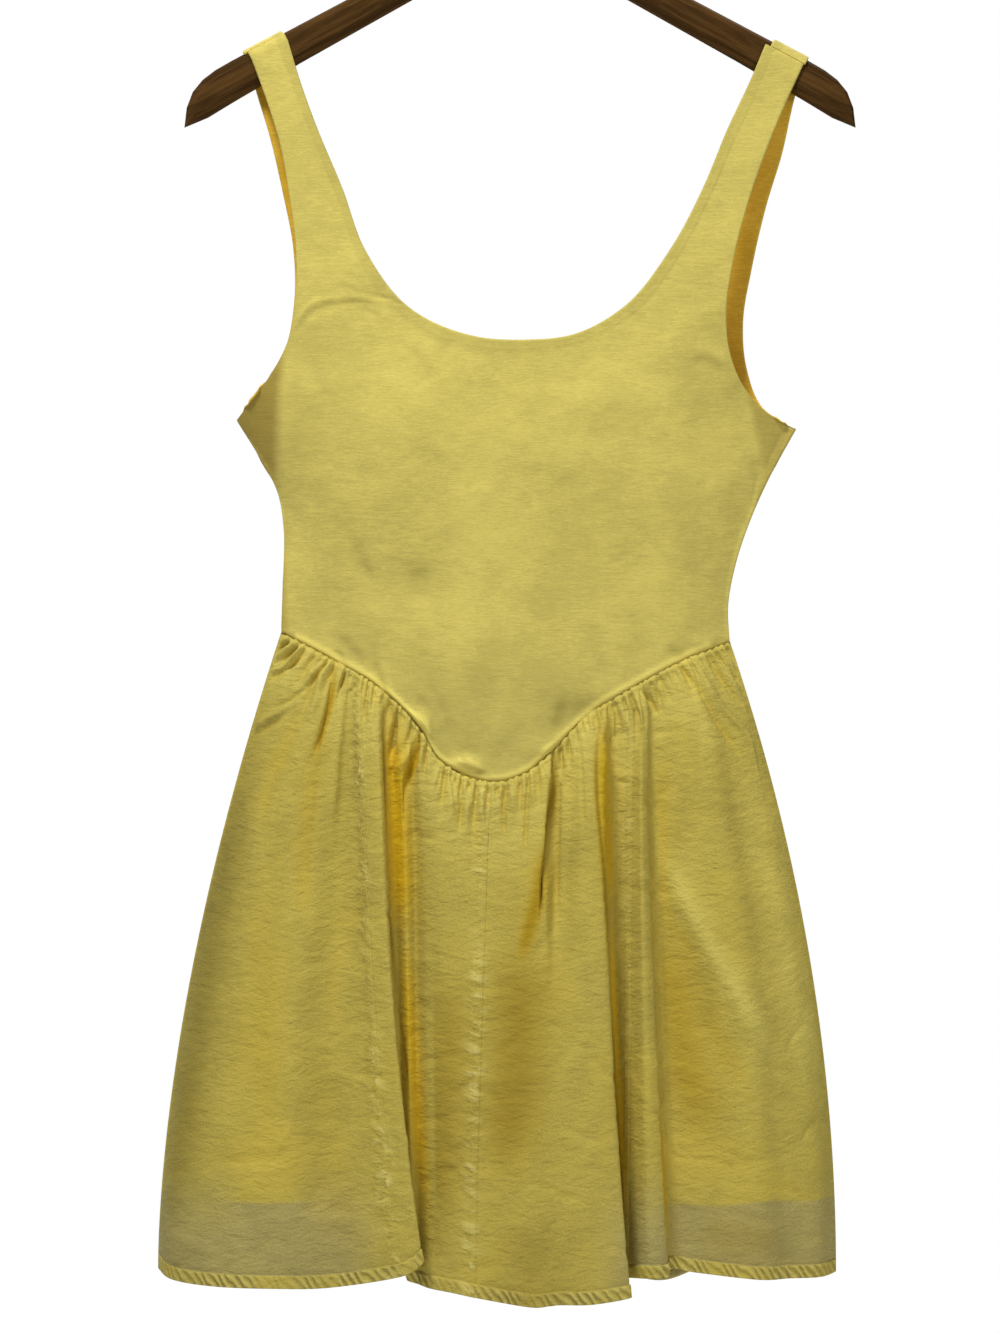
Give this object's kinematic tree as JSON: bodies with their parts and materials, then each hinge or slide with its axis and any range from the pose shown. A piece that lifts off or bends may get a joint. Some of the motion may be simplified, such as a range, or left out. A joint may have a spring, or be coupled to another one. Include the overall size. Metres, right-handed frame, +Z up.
{
  "type": "babydoll dress on a hanger",
  "caption": "Sleeveless yellow babydoll dress, its scoop-necked jersey bodice pointed at the waist over a gathered panelled skirt, on a flat wooden hanger with a wire hook.",
  "frame": {"origin": "top of the inside of the hanger's hook, where a rail carries it", "axes": "+Z up; the front of the dress faces -Y; +X to the right of a viewer who looks at the front"},
  "size_m": [0.4609, 0.1087, 0.9995],
  "materials": {
    "jersey": "matt double cotton jersey, butter yellow",
    "lawn": "thin crinkled cotton lawn, yellow, slightly see-through",
    "lining": "plain fine cotton, yellow",
    "wood": "dark brown stain, satin varnish",
    "steel": "bright round wire"
  },
  "bodies": {
    "root": {"bodice_front_left": "jersey", "bodice_front_middle": "jersey", "bodice_front_right": "jersey", "bodice_back": "jersey", "skirt_side_left": "lawn", "skirt_centre_left": "lawn", "skirt_centre_right": "lawn", "skirt_side_right": "lawn", "skirt_back_left": "lawn", "skirt_back_right": "lawn", "lining_front": "lining", "lining_back": "lining", "hanger_arms": "wood", "hanger_hook": "steel"}
  },
  "joints": []
}
